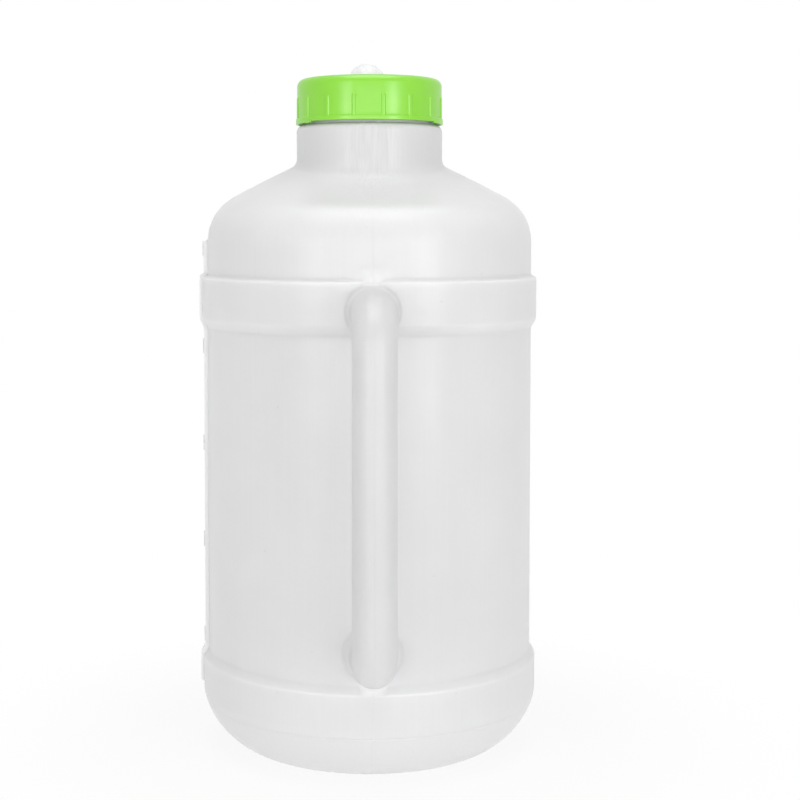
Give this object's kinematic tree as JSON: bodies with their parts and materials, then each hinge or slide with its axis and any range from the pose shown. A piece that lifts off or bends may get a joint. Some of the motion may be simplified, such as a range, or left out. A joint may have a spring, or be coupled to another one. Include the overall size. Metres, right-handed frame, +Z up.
{
  "type": "oil jug",
  "caption": "Translucent blow-moulded oil jug with a hollow side handle, a closed pouring spout, a wide threaded neck and a ribbed green screw cap.",
  "frame": {"origin": "centre of the base's foot ring, on the jug's axis", "axes": "+Z up along the jug's axis, -Y towards the handle, +Y towards the spout, -X towards the gauge strip"},
  "size_m": [0.1907, 0.2372, 0.3919],
  "materials": {
    "natural_hdpe": "natural unpigmented HDPE, satin, translucent",
    "green_cap": "lime green moulded polypropylene, soft gloss",
    "foam_seal": "white closed-cell foam"
  },
  "bodies": {
    "jug": {"jug_body": "natural_hdpe"},
    "seal": {"cap_seal": "foam_seal"},
    "cap": {"screw_cap": "green_cap"}
  },
  "joints": [
    {"name": "cap_rise", "type": "slide", "parent": "jug", "child": "seal", "axis": [0, 0, 1], "range_m": [0, 0.0241]},
    {"name": "cap_turn", "type": "hinge", "parent": "seal", "child": "cap", "pos_m": [0, 0, 0.36], "axis": [0, 0, 1], "range_deg": [0, 1440]}
  ],
  "couplings": [
    {"joint": "cap_rise", "follows": "cap_turn", "m_per_rad": 0.00095493}
  ]
}
